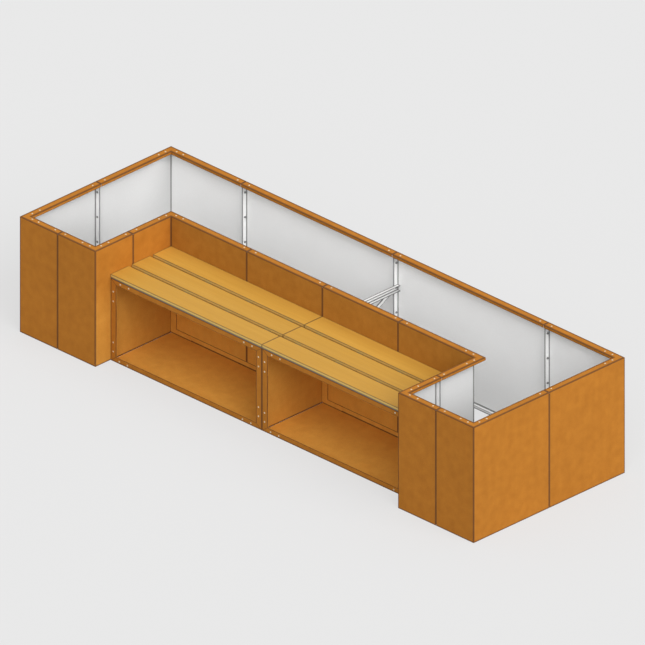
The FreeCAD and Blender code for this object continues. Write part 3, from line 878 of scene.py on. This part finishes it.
@dataclass(frozen=True)
class RivetHead:
    """The domed head of a blind rivet, with the small hole that its pin leaves."""

    radius: float = 4.4 * MM
    height: float = 1.8 * MM
    pin_radius: float = 1.5 * MM
    pin_depth: float = 0.8 * MM
    rim: float = 0.5 * MM
    sides: int = 20
    dome_steps: int = 5

    def shape(self) -> Mesh:
        """Spin the head about Z, its flat side at the origin.

        Returns:
            The mesh.
        """
        pin_floor = self.height - self.pin_depth
        profile = [(0.0, pin_floor), (self.pin_radius, pin_floor)]
        for step in range(self.dome_steps + 1):
            share = step / self.dome_steps
            radius = self.pin_radius + (self.radius - self.pin_radius) * share
            profile.append((radius, self.rim + (self.height - self.rim) * math.sqrt(1 - share ** 2)))
        profile += [(self.radius, 0.0), (0.0, 0.0)]
        return turned_profile(profile, self.sides)

    def set_at(self, places: list[Matrix], name: str, metal: Material) -> None:
        """Set a rivet at every place, as one piece.

        Args:
            places: The places.
            name: The piece's name.
            metal: Its material.
        """
        whole = bmesh.new()
        stamp(whole, self.shape(), places)
        add_piece(name, whole, metal)


@dataclass
class Planter:
    """The ring of twelve folded panels, with its corner and joint plates and their rivets."""

    half_length: float = 1.5
    half_depth: float = 0.5
    height: float = 0.61
    bay_half: float = 1.0
    recess: float = 0.0
    seat_level: float = 0.43
    bench_front: float = -0.4
    sheet: float = 2 * MM
    plate: float = 3 * MM
    rivet_line: float = 22 * MM
    front_rivets: Levels = (-1.438, -1.397, -1.288, -1.221, -1.107, -1.059,
                            1.056, 1.108, 1.210, 1.287, 1.392, 1.440)
    back_rivets: Levels = (-1.441, -1.398, -1.038, -0.962, -0.038, 0.038, 0.962, 1.038, 1.391, 1.439)
    bay_rivets: Levels = (-0.988, -0.942, -0.538, -0.462, -0.038, 0.038, 0.462, 0.538, 0.928, 0.977)
    left_end_rivets: Levels = (-0.439, -0.390, -0.040, 0.040, 0.396, 0.441)
    right_end_rivets: Levels = (-0.440, -0.392, -0.038, 0.035, 0.391, 0.439)
    left_arm_rivets: Levels = (-0.440, -0.392, -0.277, -0.207, -0.058, -0.010)
    right_arm_rivets: Levels = (-0.434, -0.388, -0.281, -0.218, -0.067, -0.019)
    finish: CoatedWall = CoatedWall()
    plate_zinc: Zinc = Zinc(colour=(0.74, 0.74, 0.73), metallic=0.1)
    rivet: RivetHead = RivetHead()
    pattern_step: float = 3.7

    def panels(self) -> dict[str, Panel]:
        """Give every panel, the left ones written and the right ones mirrored.

        Returns:
            The panels by their nodes.
        """
        end, bay = -self.half_length, -self.bay_half
        front, back = -self.half_depth, self.half_depth
        arm_joint, bay_joint, side_joint = (end + bay) / 2, bay / 2, front / 2
        left = {
            "front": Panel(Folds((end,), (front,)), Folds((arm_joint,), (0.0,))),
            "back": Panel(Folds((end,), (back,)), Folds((bay,), (0.0,))),
            "back_centre": Panel(Folds(y=(back,)), Folds((bay, 0.0))),
            "arm_inner": Panel(Folds((bay,), (front,)), Folds((arm_joint,), (side_joint,)), True),
            "recess_corner": Panel(Folds((bay,), (self.recess,)), Folds((bay_joint,), (side_joint,)), True),
            "recess_back": Panel(Folds(y=(self.recess,)), Folds((bay_joint, 0.0)), True),
        }
        panels = {"wall_%s_left" % name: panel for name, panel in left.items()}
        panels.update({"wall_%s_right" % name: panel.mirrored() for name, panel in left.items()})
        return panels

    def joints(self) -> Folds:
        """Give the planes of the panel joints, and the level at which their gaps show the plates.

        Returns:
            The planes.
        """
        arm_joint = (self.half_length + self.bay_half) / 2
        right = (self.bay_half / 2, self.bay_half, arm_joint)
        across = (*(-level for level in reversed(right)), 0.0, *right)
        return Folds(across, (-self.half_depth / 2, 0.0), (self.height - self.sheet,))

    def rivet_spots(self) -> Pairs:
        """Give where rivets pass the flanges, seen from above.

        Returns:
            The X and Y of each.
        """
        from_end, from_side = self.half_length - self.rivet_line, self.half_depth - self.rivet_line
        beside_bay = self.bay_half + self.rivet_line
        along = ((self.front_rivets, -from_side), (self.back_rivets, from_side),
                 (self.bay_rivets, self.recess + self.rivet_line))
        across = ((self.left_end_rivets, -from_end), (self.right_end_rivets, from_end),
                  (self.left_arm_rivets, -beside_bay), (self.right_arm_rivets, beside_bay))
        spots = [(x, y) for levels, y in along for x in levels]
        return spots + [(x, y) for levels, x in across for y in levels]

    def build(self, rivet_metal: Material) -> None:
        """Dress the panels and plates, and set the rivets on the top flanges and the foot plates.

        Args:
            rivet_metal: The rivets' material.
        """
        for index, (name, panel) in enumerate(self.panels().items()):
            shift = self.pattern_step * index
            dress(name, self.finish.material("steel_" + name, panel, self, shift))
        dress("corner_plates", self.plate_zinc.material("zinc_corner_plates", Folds()))
        dress("splice_plates", self.plate_zinc.material("zinc_splice_plates", self.joints()))
        for name, level in (("top_rivets", self.height), ("foot_rivets", self.sheet + self.plate)):
            places = [Matrix.Translation((x, y, level)) for x, y in self.rivet_spots()]
            self.rivet.set_at(places, name, rivet_metal)


@dataclass
class JointBolts:
    """The round-headed bolts and nuts that hold the panels together at their upright flanges."""

    head_radius: float = 6 * MM
    head: float = 3.5 * MM
    rim: float = 0.6 * MM
    dome_steps: int = 6
    nut_across: float = 10 * MM
    nut: float = 5 * MM
    chamfer: float = 0.5 * MM
    neck: float = 6 * MM
    core: float = 2.5 * MM
    tip: float = 2.5 * MM
    pitch: float = 1 * MM
    thread: float = 0.45 * MM
    sides: int = 24
    tolerance: float = 0.1 * MM

    def head_shape(self) -> Mesh:
        """Spin the low dome of a head, which rises along Z from the origin.

        Returns:
            The mesh.
        """
        profile = [(0.0, 0.0), (self.head_radius, 0.0)]
        for step in range(self.dome_steps):
            angle = step / self.dome_steps * math.pi / 2
            profile.append((self.head_radius * math.cos(angle),
                            self.rim + (self.head - self.rim) * math.sin(angle)))
        profile.append((0.0, self.head))
        return turned_profile(profile, self.sides)

    def nut_shape(self) -> Mesh:
        """Shape a six-sided nut, which rises along Z from the origin, its corners chamfered.

        Returns:
            The mesh.
        """
        mesh = bmesh.new()
        corner = self.nut_across / math.sqrt(3)
        bmesh.ops.create_cone(mesh, cap_ends=True, segments=6, radius1=corner, radius2=corner,
                              depth=self.nut)
        bmesh.ops.translate(mesh, vec=(0.0, 0.0, self.nut / 2), verts=mesh.verts)
        flat = [edge for edge in mesh.edges
                if abs(edge.verts[0].co.z - edge.verts[1].co.z) < self.tolerance]
        bmesh.ops.bevel(mesh, geom=flat, offset=self.chamfer, segments=1, profile=0.5, affect="EDGES",
                        material=-1)
        return mesh

    def tip_shape(self) -> Mesh:
        """Spin the threaded tip that stands out of the nut, from the origin along Z.

        Returns:
            The mesh.
        """
        crest = self.neck / 2
        root = crest - self.thread
        profile = [(0.0, -self.nut / 2), (root, -self.nut / 2)]
        for turn in range(int(self.tip / self.pitch)):
            level = turn * self.pitch
            profile += [(root, level), (crest, level + self.pitch / 2)]
        profile += [(self.core, self.tip), (0.0, self.tip)]
        return turned_profile(profile, self.sides // 2)

    def neck_shape(self, grip: float) -> Mesh:
        """Shape the square neck between head and nut, from the origin back along Z.

        Args:
            grip: The distance from the head to the nut.

        Returns:
            The mesh.
        """
        mesh = bmesh.new()
        bmesh.ops.create_cube(mesh, size=1.0)
        bmesh.ops.scale(mesh, vec=(self.neck, self.neck, grip), verts=mesh.verts)
        bmesh.ops.translate(mesh, vec=(0.0, 0.0, -grip / 2), verts=mesh.verts)
        return mesh

    def fasten(self, name: str, node: str, metal: Material) -> None:
        """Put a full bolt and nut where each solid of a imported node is.

        Args:
            name: The new piece's name.
            node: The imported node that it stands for.
            metal: Its material.
        """
        whole = bmesh.new()
        for solid in self.solids(node):
            way, low, high = self.aim_of(solid)
            middle = self.middle_of(solid)
            head_at, nut_at = high - self.head, low + self.nut
            head_place = Matrix.Translation(middle + way * (head_at - middle.dot(way))) @ aimed(way)
            nut_place = Matrix.Translation(middle + way * (nut_at - middle.dot(way))) @ aimed(-way)
            tip_place = nut_place @ Matrix.Translation((0.0, 0.0, self.nut))
            neck = self.neck_shape(head_at - nut_at)
            for shape, place in ((self.head_shape(), head_place), (neck, head_place),
                                 (self.nut_shape(), nut_place), (self.tip_shape(), tip_place)):
                stamp(whole, shape, [place])
        piece = add_piece(name, whole, metal)
        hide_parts(node)

    @staticmethod
    def solids(node: str) -> list[list[Vector]]:
        """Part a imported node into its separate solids.

        Args:
            node: The node.

        Returns:
            The points of each solid.
        """
        mesh = bmesh.new()
        mesh.from_mesh(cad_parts[node].data)
        bmesh.ops.remove_doubles(mesh, verts=mesh.verts, dist=1e-6)
        unseen = set(mesh.verts)
        found = []
        while unseen:
            start = unseen.pop()
            group = [start]
            for vert in group:
                for edge in vert.link_edges:
                    other = edge.other_vert(vert)
                    if other in unseen:
                        unseen.remove(other)
                        group.append(other)
            found.append([vert.co.copy() for vert in group])
        mesh.free()
        return sorted(found, key=lambda points: min(tuple(point) for point in points))

    @staticmethod
    def middle_of(points: list[Vector]) -> Vector:
        """Give the middle of the box round some points."""
        return Vector([(min(values) + max(values)) / 2 for values in zip(*points)])

    def aim_of(self, points: list[Vector]) -> tuple[Vector, float, float]:
        """Find which way a bolt's head points, from the steps at the bolt's two ends.

        Args:
            points: The points of one packed bolt.

        Returns:
            The way, and the levels of the nut's and the head's outer ends along it.
        """
        for way in (Vector((1, 0, 0)), Vector((-1, 0, 0)), Vector((0, 1, 0)), Vector((0, -1, 0))):
            levels = sorted({round(point.dot(way), 5) for point in points})
            nut, head = levels[1] - levels[0], levels[-1] - levels[-2]
            if abs(nut - self.nut) < self.tolerance and abs(head - self.head) < self.tolerance:
                return way, levels[0], levels[-1]
        raise RuntimeError("a packed bolt has no axis")


@dataclass
class BenchBox:
    """One open-fronted box of folded sheet, its corners held by riveted plates."""

    side: Side
    width: float = 1.0
    depth: float = 0.4
    back: float = 0.0
    height: float = 0.435
    side_frame: float = 38 * MM
    edge_frame: float = 28 * MM
    left_line: float = 18 * MM
    left_rivets: Levels = (0.052, 0.100, 0.317, 0.368)
    right_line: float = 978 * MM
    right_rivets: Levels = (0.067, 0.116, 0.330, 0.380)
    foot_line: float = 12.5 * MM
    foot_rivets: Levels = (0.058, 0.112, 0.872, 0.927)
    top_line: float = 421.5 * MM
    top_rivets: Levels = (0.065, 0.120, 0.881, 0.935)
    finish: Rust = Rust()
    rivet: RivetHead = RivetHead()
    moves: Moves = Moves(50.0, 9.1, 41.0)

    @property
    def left(self) -> float:
        """The X of the box's left side."""
        return -self.width if self.side is Side.LEFT else 0.0

    def rivet_spots(self) -> Pairs:
        """Give where rivets pass the front frame.

        Returns:
            The X and Z of each.
        """
        uprights = ((self.left_rivets, self.left_line), (self.right_rivets, self.right_line))
        edges = ((self.foot_rivets, self.foot_line), (self.top_rivets, self.top_line))
        spots = [(self.left + x, z) for levels, x in uprights for z in levels]
        return spots + [(self.left + x, z) for levels, z in edges for x in levels]

    def build(self, rivet_metal: Material) -> None:
        """Dress the box's four sheets and set the rivets of its front frame.

        Args:
            rivet_metal: The rivets' material.
        """
        left, right = self.left, self.left + self.width
        folds = Folds((left, right), (self.back - self.depth, self.back), (0.0, self.height))
        uprights = Folds(x=(left + self.side_frame, right - self.side_frame))
        levels = Folds(z=(self.edge_frame, self.height - self.edge_frame))
        frame_size = (self.side_frame, self.edge_frame)
        for index, (sheet, edges) in enumerate((("side_left", uprights), ("side_right", uprights),
                                                ("floor", levels), ("deck", levels))):
            node = "bench_%s_%s" % (self.side.word, sheet)
            shift = self.moves.of(index, self.side)
            dress(node, self.finish.material("steel_" + node, folds, edges, frame_size, shift))
        forward = aimed(Vector((0.0, -1.0, 0.0)))
        places = [Matrix.Translation((x, folds.y[0], z)) @ forward for x, z in self.rivet_spots()]
        self.rivet.set_at(places, "box_rivets_" + self.side.word, rivet_metal)


@dataclass
class Seat:
    """The boards of the seat and the flat bars that they lie on."""

    rows: tuple[str, ...] = ("front", "middle", "back")
    # The back board is painted lighter, as painted light against the shade of the wall behind it.
    tones: Levels = (1.0, 1.0, 1.12)
    wood: SeatWood = SeatWood()
    zinc: Zinc = Zinc()
    # Dark zinc, painted shade for the cross bars seen through the gaps between the boards.
    painted_shade_zinc: Zinc = Zinc(colour=(0.25, 0.24, 0.22))
    board_moves: Moves = Moves(20.0, 7.3, 31.0)
    bar_moves: Moves = Moves(0.0, 0.0, 5.0)
    cross_bar_moves: Moves = Moves(0.0, 0.0, 9.0)

    def build(self) -> None:
        """Dress every board and flat bar."""
        for side in Side:
            for index, (row, tone) in enumerate(zip(self.rows, self.tones)):
                node = "board_%s_%s" % (side.word, row)
                shift = self.board_moves.of(index, side)
                dress(node, self.wood.material("wood_" + node, faces_of(node), shift, tone))
            front_bar, back_bar = ("seat_flat_%s_%s" % (side.word, place) for place in ("front", "back"))
            bars = self.zinc.material("zinc_bars_" + side.word, faces_of(front_bar),
                                      self.bar_moves.of(0, side))
            dress(front_bar, bars)
            dress(back_bar, bars)
            # The cross bars are painted dark, as painted shade in the gaps between the boards.
            shaded = self.painted_shade_zinc.material("shaded_zinc_cross_bars_" + side.word, Folds(),
                                             self.cross_bar_moves.of(0, side))
            dress("seat_cross_flats_" + side.word, shaded)


@dataclass
class Tie:
    """The channel and the strut that tie the back wall to the wall behind the seat."""

    zinc: Zinc = Zinc()
    sheet: float = 2 * MM
    brace_half_width: float = 11 * MM

    def build(self) -> None:
        """Dress the channel and the strut, each with its own arrises."""
        low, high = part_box("tie_channel")
        folds = Folds((low.x, low.x + self.sheet, high.x), (low.y, high.y),
                      (low.z, low.z + self.sheet, high.z - self.sheet, high.z))
        dress("tie_channel", self.zinc.material("zinc_channel", folds))
        low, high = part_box("tie_brace")
        middle, size, half = (low + high) / 2, high - low, self.brace_half_width
        slope = math.atan2(size.z - 2 * half, size.y - 2 * half)
        folds = Folds((low.x - middle.x, high.x - middle.x), (), (-half, half))
        dress("tie_brace", self.zinc.material("zinc_brace", folds, slope=slope, pivot=tuple(middle)))


def put_facing(name: str, data: bpy.types.ID, azimuth: float, elevation: float,
               distance: float = 0.0, aim: Point = (0.0, 0.0, 0.0)) -> bpy.types.Object:
    """Put a lamp or the camera in the scene, turned to a point.

    Args:
        name: The object's name.
        data: The lamp or the camera.
        azimuth: The bearing at which it stands, in degrees from +X towards +Y.
        elevation: How high it stands, in degrees.
        distance: How far from the point it stands, which is the same to a lamp.
        aim: The point.

    Returns:
        The object.
    """
    turn, rise = math.radians(azimuth), math.radians(elevation)
    way = Vector((math.cos(turn) * math.cos(rise), math.sin(turn) * math.cos(rise), math.sin(rise)))
    made = put(name, data)
    made.location = Vector(aim) + way * distance
    made.rotation_mode = "QUATERNION"
    made.rotation_quaternion = way.to_track_quat("Z", "Y")
    return made


@dataclass(frozen=True)
class Lamp:
    """A wide soft lamp, by where it stands and what a white face that is turned to it gives back."""

    name: str
    azimuth: float
    elevation: float
    light: float
    spread: float

    def build(self) -> None:
        """Add the lamp."""
        data = bpy.data.lights.new(self.name, "SUN")
        data.energy = math.pi * self.light
        data.angle = math.radians(self.spread)
        put_facing(self.name, data, self.azimuth, self.elevation)


@dataclass
class Studio:
    """A plain pale floor, soft light and the camera."""

    paper: float = 0.807
    floor_paper: float = 0.70
    floor_glow: float = 0.75
    bounce: float = 0.45
    sky: float = 0.44
    lamps: tuple[Lamp, ...] = (
        Lamp("key", azimuth=0.0, elevation=35.0, light=0.6, spread=45.0),
        Lamp("front", azimuth=-45.0, elevation=35.0, light=0.495, spread=45.0),
        Lamp("top", azimuth=0.0, elevation=90.0, light=0.12, spread=90.0),
    )
    floor_size: float = 80.0
    floor_gap: float = 0.5 * MM
    azimuth: float = -45.0
    elevation: float = 27.76
    aim: Point = (-0.1562, 0.1573, 0.305)
    frame_width: float = 3.0144
    distance: float = 8.0
    sight: float = 100.0

    @staticmethod
    def shade(nodes: Nodes, shown: float, given: float) -> Socket:
        """Give a grey that is one shade where it is seen and another where it lights the object.

        Args:
            nodes: The floor's or the world's nodes.
            shown: The shade for camera, glossy and transmitted rays, which show the background.
            given: The shade for the others.

        Returns:
            The grey.
        """
        path = nodes.add("ShaderNodeLightPath").outputs
        seen = nodes.largest(*(path["Is %s Ray" % kind] for kind in ("Camera", "Glossy", "Transmission")))
        return nodes.mix(seen, (given,) * 3, (shown,) * 3)

    def build_world(self) -> None:
        """Make the even light from all round."""
        world = bpy.data.worlds.new("studio")
        world.use_nodes = True
        bpy.context.scene.world = world
        nodes = Nodes(world.node_tree)
        nodes.feed(nodes.tree.nodes["Background"], {"Color": self.shade(nodes, self.paper, self.sky)})

    def build_floor(self) -> None:
        """Lay the pale floor just under the object."""
        material = bpy.data.materials.new("paper")
        material.use_nodes = True
        nodes = Nodes(material.node_tree)
        lit = self.shade(nodes, self.floor_paper * (1 - self.floor_glow), self.bounce)
        glow = self.shade(nodes, self.paper * self.floor_glow, 0.0)
        inputs = {"Roughness": 1.0, "Specular IOR Level": 0.0, "Base Color": lit, "Emission Color": glow,
                  "Emission Strength": 1.0}
        nodes.feed(nodes.tree.nodes["Principled BSDF"], inputs)
        mesh = bmesh.new()
        bmesh.ops.create_grid(mesh, x_segments=1, y_segments=1, size=self.floor_size / 2)
        bmesh.ops.translate(mesh, vec=(0.0, 0.0, -self.floor_gap), verts=mesh.verts)
        put_mesh("floor", mesh, material)

    def build_camera(self) -> None:
        """Set the camera square to the drawing's parallel view."""
        data = bpy.data.cameras.new("camera")
        data.type = "ORTHO"
        data.ortho_scale = self.frame_width
        data.clip_end = self.sight
        bpy.context.scene.camera = put_facing("camera", data, self.azimuth, self.elevation,
                                              self.distance, self.aim)

    def build(self) -> None:
        """Make the whole studio."""
        bpy.context.scene.view_settings.view_transform = "Standard"
        self.build_world()
        self.build_floor()
        for lamp in self.lamps:
            lamp.build()
        self.build_camera()


def main() -> None:
    """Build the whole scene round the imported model."""
    rivet_metal = Metal((0.61, 0.51, 0.34), roughness=0.55, metallic=0.1).material("rivet_metal")
    bolt_metal = Metal((0.24, 0.24, 0.24), roughness=0.45, metallic=0.3).material("bolt_metal")
    Planter().build(rivet_metal)
    bolts = JointBolts()
    bolts.fasten("panel_bolts", "joint_bolts", bolt_metal)
    bolts.fasten("holding_bolts", "tie_bolts", bolt_metal)
    for side in Side:
        BenchBox(side).build(rivet_metal)
    dress("bench_corner_plates", BenchBox.finish.plates("steel_bench_plates", shift=77.0))
    Seat().build()
    Tie().build()
    Studio().build()


if __name__ == "__main__":
    main()
